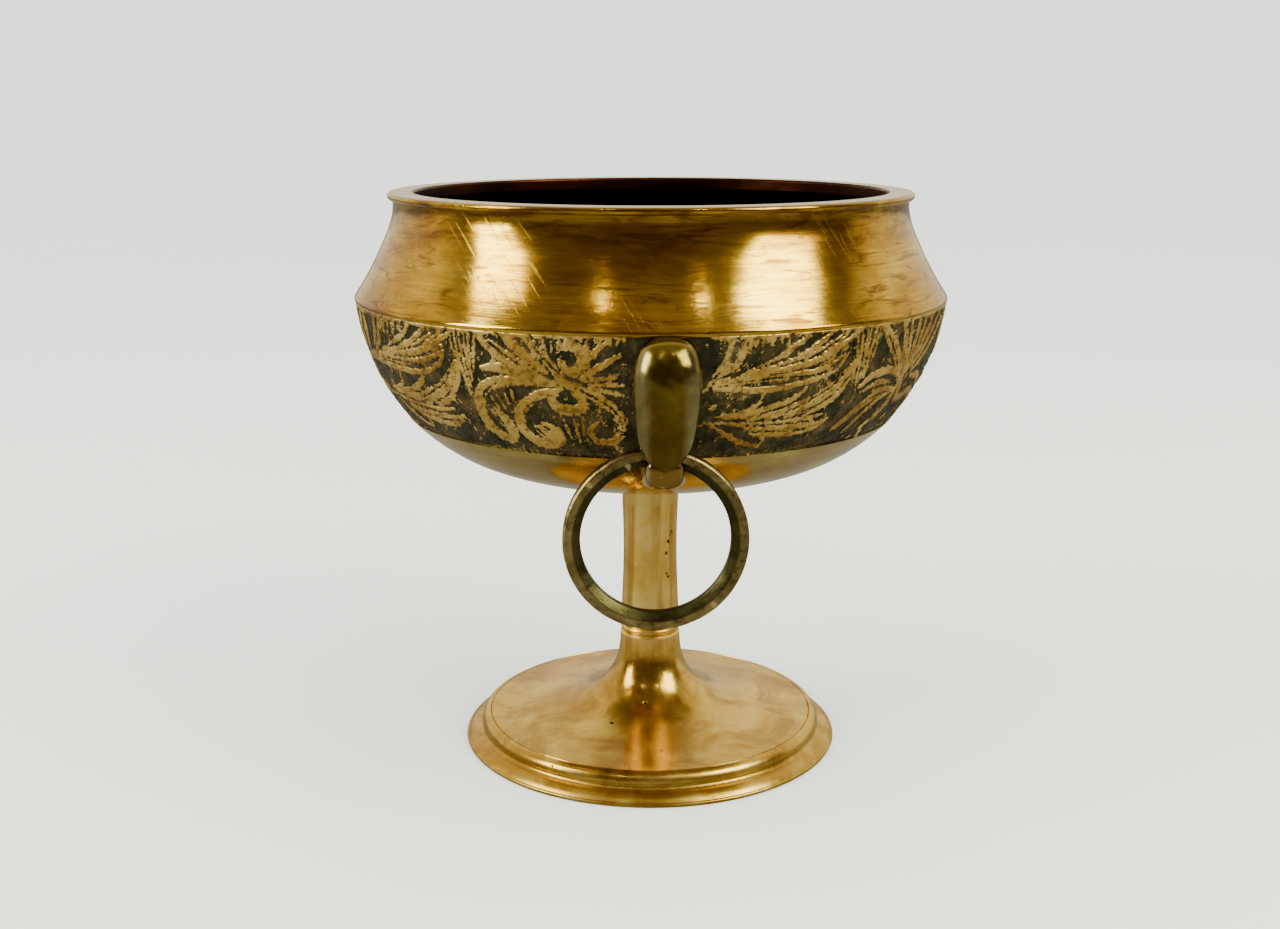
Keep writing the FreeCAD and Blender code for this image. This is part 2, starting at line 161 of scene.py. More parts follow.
FLOWER_GAPS = [
    (0.6, [(4.6, 100.4), (8.5, 97.2), (14.0, 93.6)]),
    (0.5, [(13.5, 99.6), (17.4, 95.4), (20.4, 92.3)]),
    (0.5, [(20.6, 91.6), (24.4, 89.6), (27.8, 86.6), (28.8, 83.4)]),
    (0.55, [(3.8, 86.4), (4.4, 83.8), (5.4, 81.4)]),
    (0.5, [(6.2, 91.6), (3.2, 89.4), (1.6, 86.6)]),
    (0.55, [(12.0, 84.6), (12.2, 82.4), (13.4, 80.9)]),
    (0.45, [(14.6, 88.9), (11.0, 86.4), (10.0, 83.4)]),
    (0.9, [(20.3, 97.7), (20.2, 96.6)]),
    (1.1, [(19.2, 89.4), (19.5, 88.6)]),
]
SPRAY = [
    (2.2, [(3.4, 101.5), (6.5, 98.0), (10.5, 93.6), (14, 88.6)]),
    (1.5, [(10.2, 101.5), (11.8, 97.0), (13.2, 92.0), (14.5, 87.0)]),
    (1.0, [(13.2, 101.8), (14.0, 95.0), (14.8, 87.0)]),
    (1.1, [(16.6, 101.8), (15.7, 95.0), (15.2, 88.0)]),
    (1.0, [(19.6, 101.8), (17.9, 96.0), (16, 90.0)]),
    (1.1, [(23.2, 101.0), (19.9, 96.0), (16.8, 91.0)]),
    (1.2, [(27.4, 101.0), (22.2, 95.5), (17.5, 90.5)]),
    (1.0, [(30.5, 99.0), (24.5, 94.0), (18.2, 89.6)]),
    (1.6, [(13, 89.6), (9, 91.2), (4, 90.9), (0.8, 88.8)]),
    (0.9, [(1.5, 87.6), (6, 89.2), (10.5, 88.6)]),
    (1.7, [(14.5, 86.4), (8.5, 87.0), (3.5, 84.7), (-1.8, 80.2)]),
    (1.0, [(13, 86.6), (8.5, 85.0), (5, 82.0), (2.6, 79.2)]),
    (1.1, [(14.5, 87.0), (12.8, 82.5), (8, 79.0)]),
    (1.7, [(15.5, 88.0), (17.5, 84.3), (23, 84.8), (27, 82.4), (25, 79.5)]),
    (1.4, [(19, 88.6), (24, 87.8), (28, 85.2)]),
]
SPRAY_GAPS = [
    (0.5, [(5, 99.6), (9, 95.0), (12.6, 90.5)]),
    (0.35, [(11.2, 99.5), (12.8, 94.5), (14.0, 89.5)]),
    (0.4, [(2.4, 84.2), (7.5, 86.4), (12.5, 86.5)]),
]
# The finer fringes that hang from the shoulder: (first, last) degree from the motif's centre.
LEAF_FRINGE = (-24.0, -16.0)
FLOWER_FRINGE = (12.5, 29.0)

# Where each motif's centre stands, in degrees round from the front hook, and what grows there:
# its strokes, the gaps cut back into them, and its fringes.
MOTIFS = [
    (-36.5, (LEAF, SHEAF, FLOWER), (LEAF_GAPS, FLOWER_GAPS), (LEAF_FRINGE, FLOWER_FRINGE)),
    (38.0, (LEAF, SHEAF, SPRAY), (LEAF_GAPS, SPRAY_GAPS), (LEAF_FRINGE,)),
    (110.0, (LEAF, SHEAF, FLOWER), (LEAF_GAPS, FLOWER_GAPS), (LEAF_FRINGE, FLOWER_FRINGE)),
    (182.0, (LEAF, SHEAF, FLOWER), (LEAF_GAPS, FLOWER_GAPS), (LEAF_FRINGE, FLOWER_FRINGE)),
    (253.0, (LEAF, SHEAF, SPRAY), (LEAF_GAPS, SPRAY_GAPS), (LEAF_FRINGE,)),
]
# Standing strokes are pressed this much wider than drawn, the ground is left bare this many degrees
# to each side of a hook, and the standing metal stops this far under the shoulder, in mm.
SWELL = 1.14
RESERVE_DEGREES = 7.1
MARGIN = 0.55

# How the handwork wanders, in degrees and mm, and how finely a stroke is laid down, in mm.
SHAKE_DEGREES = 0.12
SHAKE_HEIGHT = 0.1
STROKE_STEP = 0.22
TAPER = 0.75

# Beyond this, in mm, a spot counts as simply outside, and a disc alters no spot further off than
# its radius and reach.
FAR_OUTSIDE = 2.0
DISC_REACH = 0.5

# The width of the sloping edge between standing metal and ground, in mm.
EDGE_WIDTH = 0.24


def spline(points, step):
    """Points every step or so along a smooth curve through the given points, as array rows."""
    knots = np.array(points, float)
    knots = np.vstack([2 * knots[0] - knots[1], knots, 2 * knots[-1] - knots[-2]])
    out = []
    for a, b, c, d in zip(knots, knots[1:], knots[2:], knots[3:]):
        count = max(2, math.ceil(np.linalg.norm(c - b) / step))
        t = np.arange(count)[:, None] / count
        out.append(0.5 * (2 * b + (c - a) * t + (2 * a - 5 * b + 4 * c - d) * t ** 2
                          + (3 * b - a - 3 * c + d) * t ** 3))
    return np.vstack([*out, knots[-2:-1]])


class Etching:
    """A map of the unrolled band: how far each spot lies outside the standing metal, in mm."""

    def __init__(self):
        self.columns = round(360 * MM_PER_DEGREE / SPOT)
        self.rows = round((BAND_TOP - BAND_BOTTOM) / SPOT) + 1
        self.outside = np.full((self.rows, self.columns), FAR_OUTSIDE)
        self.random = np.random.default_rng(11)

    def disc(self, x, y, radius, cut):
        """Adds, or cuts away, a disc at x mm along the band and y mm above its lower edge."""
        reach = radius + DISC_REACH
        bottom, top = int((y - reach) / SPOT), int((y + reach) / SPOT) + 2
        rows = np.arange(max(0, bottom), min(self.rows, top))
        columns = np.arange(int((x - reach) / SPOT), int((x + reach) / SPOT) + 2)
        if not len(rows):
            return
        gap = np.hypot(rows[:, None] * SPOT - y, columns[None, :] * SPOT - x) - radius
        spot = np.ix_(rows, columns % self.columns)
        old = self.outside[spot]
        self.outside[spot] = np.maximum(old, -gap) if cut else np.minimum(old, gap)

    def stroke(self, degrees, width, points, cut):
        """A line of discs along a smooth curve, thinner towards both ends."""
        unrolled = [((degrees + u) * MM_PER_DEGREE, z - BAND_BOTTOM) for u, z in points]
        path = spline(unrolled, STROKE_STEP)
        for i, (x, y) in enumerate(path):
            swell = math.sin(math.pi * (0.04 + 0.92 * i / (len(path) - 1)))
            radius = width / 2 * (1 - TAPER + TAPER * swell ** 0.7)
            self.disc(x, y, radius, cut)

    def motif(self, degrees, strokes, cut):
        """One motif, with each point off its place by a little, as handwork is."""
        for width, points in strokes:
            shaky = [
                (u + self.random.normal(0, SHAKE_DEGREES), z + self.random.normal(0, SHAKE_HEIGHT))
                for u, z in points
            ]
            self.stroke(degrees, width * (1.0 if cut else SWELL), shaky, cut)

    def fringe(self, degrees, first, last):
        """Short drips of standing metal under the shoulder."""
        u = first
        while u < last:
            length = self.random.uniform(1.2, 3.6)
            lean = self.random.normal(0, 0.35)
            drip = [(u, BAND_TOP - 0.2), (u + lean, BAND_TOP - length)]
            self.stroke(degrees, self.random.uniform(0.4, 0.7), drip, False)
            u += self.random.uniform(0.9, 1.6)

    def clouds(self, size):
        """Noise of unit spread that wraps round the band, with blotches about size mm across."""
        grain = self.random.standard_normal(self.outside.shape)
        rows = np.fft.fftfreq(self.rows, SPOT)[:, None]
        columns = np.fft.rfftfreq(self.columns, SPOT)[None, :]
        blur = np.exp(-((rows ** 2 + columns ** 2) * (1.2 * size) ** 2))
        field = np.fft.irfft2(np.fft.rfft2(grain) * blur, self.outside.shape)
        return field / field.std()

    def draw(self):
        """Presses all motifs; returns maps of standing metal (0 to 1) and of the inset in mm."""
        for degrees, motifs, gaps, fringes in MOTIFS:
            for strokes in motifs:
                self.motif(degrees, strokes, False)
            for strokes in gaps:
                self.motif(degrees, strokes, True)
            for first, last in fringes:
                self.fringe(degrees, first, last)
        height = np.arange(self.rows)[:, None] * SPOT
        margin = BAND_TOP - BAND_BOTTOM - MARGIN - height
        self.outside = np.minimum(self.outside, margin + 0.25 * self.clouds(0.8))
        ragged = 0.10 * self.clouds(0.35) + 0.07 * self.clouds(0.9)
        standing = np.clip(0.5 - (self.outside + ragged) / EDGE_WIDTH, 0, 1)
        crumbs = np.clip((self.clouds(0.32) + 0.9 * self.clouds(2.0) - 1.15) / 1.1, 0, 0.6)
        bites = np.clip((self.clouds(0.3) - 2.1) / 0.5, 0, 0.7)
        standing = np.maximum(standing * (1 - bites), crumbs)
        turn = (np.arange(self.columns) * SPOT / MM_PER_DEGREE + 90) % 180 - 90
        standing[np.abs(turn) + 0.8 * self.clouds(1.0) < RESERVE_DEGREES] = 0
        standing = standing * standing * (3 - 2 * standing)
        worn = 0.012 * self.clouds(1.6)
        pitted = 0.030 * self.clouds(0.3) + 0.022 * self.clouds(0.9)
        inset = ETCH_DEPTH * (1 - standing) + pitted * (1 - standing) + np.abs(worn) * standing
        return standing, np.clip(inset, 0.0, ETCH_DEPTH + 0.08)


# ---------------------------------------------------------------- mesh helpers

def belly_reach(height, inset=0.0):
    """The belly's radius at a height, measured inset below its polished surface."""
    rise = height - ARC_HEIGHT
    return ARC_REACH + np.sqrt((ARC_RADIUS - inset) ** 2 - rise ** 2)


def add_piece(name, vertices, faces, slot, body="root"):
    """A mesh piece from vertices in mm, shaded smooth, that rides on a body."""
    mesh = bpy.data.meshes.new(name)
    mesh.from_pydata((np.asarray(vertices) * MM).tolist(), [], faces)
    mesh.update()
    mesh.shade_smooth()
    piece = bpy.data.objects.new(name, mesh)
    bpy.context.scene.collection.objects.link(piece)
    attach(piece, body)
    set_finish(piece, slot)
    return piece


def grid_faces(rows, columns, closed, start=0):
    """Quads over a grid of vertices; closed joins the last column to the first."""
    faces = []
    for r in range(rows - 1):
        for c in range(columns if closed else columns - 1):
            a = start + r * columns + c
            b = start + r * columns + (c + 1) % columns
            faces.append((a, b, b + columns, a + columns))
    return faces


def capped_faces(rows, columns):
    """The faces of a closed tube of vertices, with a flat face over each of its ends."""
    faces = grid_faces(rows, columns, True)
    last = (rows - 1) * columns
    faces.append(tuple(range(columns))[::-1])
    faces.append(tuple(range(last, last + columns)))
    return faces


def apply_modifiers(piece):
    """Bakes a piece's modifiers into its mesh."""
    graph = bpy.context.evaluated_depsgraph_get()
    mesh = bpy.data.meshes.new_from_object(piece.evaluated_get(graph))
    piece.modifiers.clear()
    piece.data = mesh
    mesh.shade_smooth()


# ---------------------------------------------------------------- pieces

# How finely the band's relief and its plain back are meshed.
BAND_ROWS = 112
BAND_COLUMNS = 820
BACK_ROWS = 5


def sample(field, degrees, heights):
    """The map's values at a grid of degrees and heights, blended between its spots."""
    x = degrees * MM_PER_DEGREE / SPOT
    y = (heights - BAND_BOTTOM) / SPOT
    c0 = np.floor(x).astype(int)
    r0 = np.clip(np.floor(y).astype(int), 0, field.shape[0] - 2)
    fx = (x - c0)[None, :]
    fy = (y - r0)[:, None]
    c0, c1 = c0 % field.shape[1], (c0 + 1) % field.shape[1]
    low = field[np.ix_(r0, c0)] * (1 - fx) + field[np.ix_(r0, c1)] * fx
    high = field[np.ix_(r0 + 1, c0)] * (1 - fx) + field[np.ix_(r0 + 1, c1)] * fx
    return low * (1 - fy) + high * fy


def turned_grid(degrees, heights, inset):
    """Points on the belly at every height and degree, set in by the inset map."""
    reach = belly_reach(heights[:, None], inset)
    around = np.radians(degrees)[None, :]
    flat = np.broadcast_to(heights[:, None], reach.shape)
    return np.stack([reach * np.sin(around), -reach * np.cos(around), flat], axis=-1).reshape(-1, 3)


def add_band(name, first, standing, inset):
    """Half of the etched band, from the degree first, as a closed skin of relief over the bowl."""
    degrees = np.linspace(first, first + 180.0, BAND_COLUMNS)
    heights = np.linspace(BAND_BOTTOM, BAND_TOP, BAND_ROWS)
    back_heights = np.linspace(BAND_BOTTOM, BAND_TOP, BACK_ROWS)
    depth = sample(inset, degrees, heights)
    front = turned_grid(degrees, heights, depth)
    back = turned_grid(degrees, back_heights, np.full((BACK_ROWS, BAND_COLUMNS), BAND_SEAT))
    faces = grid_faces(BAND_ROWS, BAND_COLUMNS, False)
    shift = len(front)
    faces += [face[::-1] for face in grid_faces(BACK_ROWS, BAND_COLUMNS, False, shift)]
    top, back_top = (BAND_ROWS - 1) * BAND_COLUMNS, shift + (BACK_ROWS - 1) * BAND_COLUMNS
    for c in range(BAND_COLUMNS - 1):
        faces.append((c + 1, c, shift + c, shift + c + 1))
        faces.append((top + c, top + c + 1, back_top + c + 1, back_top + c))
    for column, turn in ((0, 1), (BAND_COLUMNS - 1, -1)):
        edge = [column + r * BAND_COLUMNS for r in range(BAND_ROWS)]
        back_edge = [shift + column + r * BAND_COLUMNS for r in range(BACK_ROWS)]
        faces.append(tuple((edge + back_edge[::-1])[::turn]))
    piece = add_piece(name, np.vstack([front, back]), faces, "etched_brass")
    raised = piece.data.attributes.new("raised", "FLOAT", "POINT")
    shade = sample(standing, degrees, heights).reshape(-1)
    raised.data.foreach_set("value", np.concatenate([shade, np.zeros(len(back))]))
    return piece


# Sections of the hook's horn and arm, in mm: (inner reach, height), (outer reach, height), half
# width.
HORN = [
    ((60.6, 100.6), (61.4, 101.4), 1.2),
    ((59.8, 99.4), (63.4, 101.5), 3.6),
    ((59.6, 97.0), (66.3, 100.3), 5.45),
    ((59.6, 94.2), (68.3, 97.2), 6.2),
    ((59.6, 91.6), (69.0, 93.6), 6.25),
    ((60.0, 88.8), (68.9, 89.8), 6.0),
    ((61.5, 85.6), (68.3, 85.9), 5.5),
    ((62.0, 82.8), (67.4, 82.8), 5.0),
    ((62.3, 80.4), (66.5, 80.1), 4.1),
    ((62.7, 78.8), (65.9, 78.3), 2.9),
    ((63.2, 77.9), (65.3, 77.3), 1.6),
    ((63.7, 77.5), (64.8, 77.0), 0.6),
]
ARM = [
    ((47.5, 72.65), (50.5, 76.15), 3.95),
    ((55.0, 72.65), (55.0, 76.15), 3.95),
    ((59.9, 72.65), (59.9, 76.15), 3.95),
    ((61.3, 72.75), (61.3, 77.2), 3.85),
    ((62.4, 73.0), (62.4, 78.7), 3.7),
    ((63.3, 73.4), (63.3, 79.2), 3.4),
    ((63.9, 74.1), (63.9, 78.9), 2.8),
    ((64.3, 75.1), (64.3, 77.8), 1.7),
    ((64.45, 75.9), (64.45, 76.8), 0.5),
]
# How square each section is (2 is an ellipse), and how far it leans aside at its first and last
# section, in mm.
HORN_FULLNESS = 1.9
HORN_SWAY = (0.4, -0.3)
ARM_FULLNESS = 2.4
ARM_SWAY = (-0.2, -0.3)

# Mesh of the hooks: points round a section, spacing of sections in mm, share that a point wobbles
# by, depth in mm that a hook's back is set into the belly, sharpest smooth edge, and the distance
# in metres under which points are merged.
AROUND = 64
SECTION_STEP = 0.5
WOBBLE = 0.0007
HOOK_SEAT = 0.6
CREASE = math.radians(50)
WELD = 0.00001

# The solid that the hooks' backs are cut to: its heights in mm, and its rows and columns.
CORE_BOTTOM = 70.0
CORE_TOP = 104.0
CORE_ROWS = 60
CORE_COLUMNS = 240

# The ring's section is a bar with a steep bevel inside its front, and these are in mm.
RING_BAR = 3.37
RING_BEVEL = 0.45
RING_INNER_BEVEL = (1.55, 1.1)
RING_CORNER = 0.16
RING_CORNER_STEPS = 5
RING_SEGMENTS = 288

# How unevenly a ring is filed, as a share of its bar and in waves round it, and its few knocks:
# how many, how wide, how deep and how far they push the front back, in mm.
UNEVENNESS = 0.008
WAVES = (2, 5, 9, 17)
KNOCKS = 3
KNOCK_WIDTH = 0.8
KNOCK_DEPTH = 0.07
KNOCK_PUSH = 0.03


def swept(sections, fullness, sway):
    """A closed skin over rounded sections, blended smoothly, that leans aside by sway."""
    rows = spline([(*inner, *outer, width) for inner, outer, width in sections], SECTION_STEP)
    angle = np.linspace(0, 2 * math.pi, AROUND, endpoint=False)
    side = np.sign(np.cos(angle)) * np.abs(np.cos(angle)) ** (2 / fullness)
    lift = np.sign(np.sin(angle)) * np.abs(np.sin(angle)) ** (2 / fullness)
    vertices = []
    for i, (r0, z0, r1, z1, width) in enumerate(rows):
        reach = (r0 + r1) / 2 + lift * (r1 - r0) / 2
        height = (z0 + z1) / 2 + lift * (z1 - z0) / 2
        shift = sway[0] + (sway[1] - sway[0]) * i / (len(rows) - 1)
        vertices.append(np.stack([shift + width * side, -reach, height], axis=-1))
    return np.vstack(vertices), capped_faces(len(rows), AROUND)


def combine(piece, kind, vertices, faces):
    """Joins a closed skin to the piece, or cuts it away, and drops the skin."""
    other = add_piece(piece.name + "_other", vertices, faces, "aged_brass")
    modifier = piece.modifiers.new(kind.lower(), "BOOLEAN")
    modifier.operation = kind
    modifier.solver = "EXACT"
    modifier.object = other
    apply_modifiers(piece)
    bpy.data.objects.remove(other)


def belly_core():
    """A closed solid that fills the belly up to where the hooks are seated."""
    heights = np.append(np.linspace(CORE_BOTTOM, BAND_TOP, CORE_ROWS), CORE_TOP)
    degrees = np.linspace(0, 360, CORE_COLUMNS, endpoint=False)
    seat = np.full((len(heights), CORE_COLUMNS), HOOK_SEAT)
    vertices = turned_grid(degrees, np.minimum(heights, BAND_TOP), seat)
    vertices[:, 2] = np.repeat(heights, CORE_COLUMNS)
    return vertices, capped_faces(len(heights), CORE_COLUMNS)


def add_hook(name, replaced, turn):
    """One cast hook: a broad horn on the belly that curls down to meet its own arm below."""
    hook = add_piece(name, *swept(HORN, HORN_FULLNESS, HORN_SWAY), "aged_brass")
    combine(hook, "UNION", *swept(ARM, ARM_FULLNESS, ARM_SWAY))
    points = np.empty(len(hook.data.vertices) * 3)
    hook.data.vertices.foreach_get("co", points)
    points = points.reshape(-1, 3) / MM
    wobble = np.sin(points @ (0.9, 0.4, 1.1)) * np.sin(points @ (0.5, -0.8, 0.7) + 1.0)
    points[:, :2] *= turn * (1 - WOBBLE * (wobble[:, None] + 1))
    hook.data.vertices.foreach_set("co", (points * MM).reshape(-1))
    hook.data.update()
    combine(hook, "DIFFERENCE", *belly_core())
    shape = bmesh.new()
    shape.from_mesh(hook.data)
    bmesh.ops.remove_doubles(shape, verts=shape.verts, dist=WELD)
    bmesh.ops.dissolve_degenerate(shape, edges=shape.edges, dist=WELD)
    shape.to_mesh(hook.data)
    shape.free()
    hook.data.set_sharp_from_angle(angle=CREASE)
    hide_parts(replaced)
    return hook


def rounded(corners, cut, steps):
    """The closed outline through the corners, each of them rounded off from cut mm before it."""
    corners = np.array(corners)
    out = []
    for before, corner, after in zip(np.roll(corners, 1, 0), corners, np.roll(corners, -1, 0)):
        a = corner + (before - corner) / np.linalg.norm(before - corner) * cut
        b = corner + (after - corner) / np.linalg.norm(after - corner) * cut
        for t in np.linspace(0, 1, steps):
            out.append(a * (1 - t) ** 2 + corner * 2 * t * (1 - t) + b * t ** 2)
    return np.array(out)


def add_ring(name, seed):
    """One loose ring: a bevelled bar, filed a little unevenly, with a few knocks on its edges."""
    low, high = (np.array(corner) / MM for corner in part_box(name))
    middle = (low + high) / 2
    outer = (high[0] - low[0]) / 2
    depth = (high[1] - low[1]) / 2
    inner = outer - RING_BAR
    front = 1.0 if middle[1] < 0 else -1.0
    b = RING_BEVEL
    wide, deep = RING_INNER_BEVEL
    section = rounded(
        [
            (outer, -depth + b), (outer, depth - b), (outer - b, depth), (inner + b, depth),
            (inner, depth - b), (inner, -depth + deep), (inner + wide, -depth), (outer - b, -depth),
        ],
        RING_CORNER,
        RING_CORNER_STEPS,
    )
    random = np.random.default_rng(seed)
    phases = random.uniform(0, 2 * math.pi, (3, len(WAVES)))
    knocks = random.uniform(0, 2 * math.pi, KNOCKS)
    centre = (outer + inner) / 2
    vertices = []
    for angle in np.linspace(0, 2 * math.pi, RING_SEGMENTS, endpoint=False):
        waves = [
            sum(np.sin(k * angle + phase) / k for k, phase in zip(WAVES, row)) for row in phases
        ]
        thin = 1 - UNEVENNESS * (1 + waves[0])
        flat = 1 - UNEVENNESS * (1 + waves[1])
        gaps = np.angle(np.exp(1j * (knocks - angle))) * centre
        knock = np.exp(-(gaps / KNOCK_WIDTH) ** 2).max()
        offset = section - (centre, 0)
        outside = np.clip(offset[:, 0] / (outer - centre), 0, 1)
        outside = outside * np.clip(-offset[:, 1] / depth, 0, 1)
        radius = centre + offset[:, 0] * thin - KNOCK_DEPTH * knock * outside
        across = offset[:, 1] * flat + KNOCK_PUSH * knock * outside
        vertices.append(
            middle
            + np.stack(
                [front * radius * np.sin(angle), front * across, radius * np.cos(angle)], axis=-1
            )
        )
    columns = len(section)
    outward = np.tile((section[:, 0] - inner) / RING_BAR, RING_SEGMENTS)
    faces = grid_faces(RING_SEGMENTS, columns, True)
    last = (RING_SEGMENTS - 1) * columns
    faces += [
        (last + c, last + (c + 1) % columns, (c + 1) % columns, c) for c in range(columns)
    ]
    faces = [face[::-1] for face in faces]
    ring = add_piece(name + "_bar", np.vstack(vertices), faces, "ring_brass", name)
    ring.data.attributes.new("outward", "FLOAT", "POINT").data.foreach_set("value", outward)
    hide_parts(name)
    return ring


# ---------------------------------------------------------------- node helpers

# Where the finishes change, in metres: heights above the table, and distances from the axis.
NECK_TARNISH = (0.1130, 0.1205)
UNDER_BAND = (0.0785, 0.0760)
RIM_FACE = (0.1231, 0.1234)
FLOOR_EDGE = (0.0500, 0.0490)
FOOT_TO_STEM = (0.0150, 0.0230)
SHINE_TO_SATIN = (0.0170, 0.0230)
DISC_EDGE = (0.0372, 0.0392)
# The horn is painted in shade below the first of these heights and lit above the second.
HORN_SHADE_TO_LIGHT = (0.0870, 0.0990)
# The horn's sides carry a painted sheen beyond these distances from its middle, in metres.
HORN_SHEEN_FLANK = (0.0032, 0.0052)
# Below these heights the cup carries a painted reflection on its sides.
CUP_TOP = (0.0780, 0.0768)

# Old polish and painted shade in the corners, and the colour at the bottom of a casting hole.
OLD_POLISH_AND_SHADE = (0.030, 0.017, 0.004)
PIT = (0.05, 0.026, 0.007)

# Casting holes in the stem's front: (offset to the right, height, radius), in mm.
STEM_RADIUS = 6.1
BLOWHOLES = [
    (4.6, 48.4, 0.45),
    (4.2, 47.5, 0.35),
    (4.0, 46.2, 0.30),
    (3.5, 43.6, 0.30),
    (3.8, 42.9, 0.22),
    (3.6, 38.9, 0.32),
    (3.9, 38.0, 0.30),
    (-5.0, 52.6, 0.26),
]


class Nodes:
    """Short names for building one material's node tree."""

    def __init__(self, name):
        self.material = bpy.data.materials.new(name)
        self.material.use_nodes = True
        self.tree = self.material.node_tree
        self.shader = self.tree.nodes["Principled BSDF"]
        self.place = self.tree.nodes.new("ShaderNodeTexCoord").outputs["Object"]

    def link(self, value, socket):
        if isinstance(value, (int, float)) and socket.type == "RGBA":
            socket.default_value = (value, value, value, 1.0)
        elif isinstance(value, (int, float)):
            socket.default_value = value
        elif isinstance(value, tuple):
            socket.default_value = (*value, 1.0)
        else:
            self.tree.links.new(value, socket)

    def stretched(self, x, y, z, tilt=0.0):
        """The object's coordinates, tilted about Y and scaled along each axis."""
        turned = self.tree.nodes.new("ShaderNodeMapping")
        turned.inputs["Rotation"].default_value = (0.0, tilt, 0.0)
        self.link(self.place, turned.inputs["Vector"])
        node = self.tree.nodes.new("ShaderNodeMapping")
        node.inputs["Scale"].default_value = (x, y, z)
        self.link(turned.outputs["Vector"], node.inputs["Vector"])
        return node.outputs["Vector"]

    def noise(self, scale, detail=4.0, roughness=0.55, vector=None, distortion=0.0):
        node = self.tree.nodes.new("ShaderNodeTexNoise")
        self.link(self.place if vector is None else vector, node.inputs["Vector"])
        node.inputs["Scale"].default_value = scale
        node.inputs["Detail"].default_value = detail
        node.inputs["Roughness"].default_value = roughness
        node.inputs["Distortion"].default_value = distortion
        return node.outputs["Fac"]

    def ramp(self, value, *stops):
        """A ramp from (position, colour or grey) stops."""
        node = self.tree.nodes.new("ShaderNodeValToRGB")
        elements = node.color_ramp.elements
        while len(elements) < len(stops):
            elements.new(0.5)
        for element, (position, colour) in zip(elements, stops):
            element.position = position
            colour = colour if isinstance(colour, tuple) else (colour,) * 3
            element.color = (*colour, 1.0)
        self.link(value, node.inputs["Fac"])
        return node.outputs["Color"]

    def mix(self, factor, first, second):
        node = self.tree.nodes.new("ShaderNodeMix")
        node.data_type = "RGBA"
        self.link(factor, node.inputs[0])
        self.link(first, node.inputs[6])
        self.link(second, node.inputs[7])
        return node.outputs[2]

    def maths(self, kind, first, second=0.0):
        node = self.tree.nodes.new("ShaderNodeMath")
        node.operation = kind
        self.link(first, node.inputs[0])
        self.link(second, node.inputs[1])
        return node.outputs[0]

    def attribute(self, name):
        node = self.tree.nodes.new("ShaderNodeAttribute")
        node.attribute_name = name
        return node.outputs["Fac"]

    def pointiness(self):
        return self.tree.nodes.new("ShaderNodeNewGeometry").outputs["Pointiness"]

    def step(self, value, low, high):
        """0 below low, 1 above high and smooth between; with low above high it falls instead."""
        node = self.tree.nodes.new("ShaderNodeMapRange")
        node.interpolation_type = "SMOOTHSTEP"
        self.link(value, node.inputs["Value"])
        node.inputs["From Min"].default_value = min(low, high)
        node.inputs["From Max"].default_value = max(low, high)
        node.inputs["To Min"].default_value = 0.0 if low < high else 1.0
        node.inputs["To Max"].default_value = 1.0 if low < high else 0.0
        return node.outputs["Result"]

    def vector_maths(self, kind, first, second=None):
        node = self.tree.nodes.new("ShaderNodeVectorMath")
        node.operation = kind
        self.link(first, node.inputs[0])
        if second is not None:
            self.link(second, node.inputs[1])
        return node

    def from_axis(self):
        """Distance from the bowl's axis, in metres."""
        return self.vector_maths("LENGTH", self.stretched(1.0, 1.0, 0.0)).outputs["Value"]

    def height(self):
        """Height above the table, in metres."""
        split = self.tree.nodes.new("ShaderNodeSeparateXYZ")
        self.link(self.place, split.inputs[0])
        return split.outputs["Z"]

    def worn(self, colour, bright):
        """The colour rubbed bright along its edges, with a painted highlight there as well, and
        darkened in its corners by old polish and painted shade.
        """
        # Painted highlight on convex edges and painted shade in concave corners, besides real wear
        # and old polish.
        edge = self.ramp(self.pointiness(), (0.515, 0.0), (0.60, 0.85))
        corner = self.ramp(self.pointiness(), (0.40, 0.9), (0.485, 0.0))
        return self.mix(corner, self.mix(edge, colour, bright), OLD_POLISH_AND_SHADE)

    def blowholes(self):
        """1 in the few small casting holes down one side of the stem, and 0 elsewhere."""
        ragged = self.noise(1000.0, 3.0, 0.6)
        holes = 0.0
        for x, z, radius in BLOWHOLES:
            y = -math.sqrt(STEM_RADIUS ** 2 - x ** 2)
            node = self.tree.nodes.new("ShaderNodeVectorMath")
            node.operation = "DISTANCE"
            self.link(self.place, node.inputs[0])
            node.inputs[1].default_value = (x * MM, y * MM, z * MM)
            near = self.maths("ADD", node.outputs["Value"], self.maths("MULTIPLY", ragged, 0.0018))
            hole = self.step(near, (radius + 1.05) * MM, (radius + 0.75) * MM)
            holes = self.maths("MAXIMUM", hole, holes)
        return holes

    def bowl_floor(self):
        """1 on the bowl's floor, which looks up near the axis, and 0 elsewhere."""
        split = self.tree.nodes.new("ShaderNodeSeparateXYZ")
        normal = self.tree.nodes.new("ShaderNodeNewGeometry").outputs["True Normal"]
        self.link(normal, split.inputs[0])
        central = self.step(self.from_axis(), *FLOOR_EDGE)
        return self.maths("MULTIPLY", central, self.step(split.outputs["Z"], 0.1, 0.3))

    def facing_axis(self):
        """1 where the surface looks towards the bowl's axis, as inside the bowl, or else 0."""
        normal = self.tree.nodes.new("ShaderNodeNewGeometry").outputs["True Normal"]
        outwards = self.vector_maths("DOT_PRODUCT", normal, self.stretched(1.0, 1.0, 0.0))
        return self.step(outwards.outputs["Value"], -0.001, -0.004)

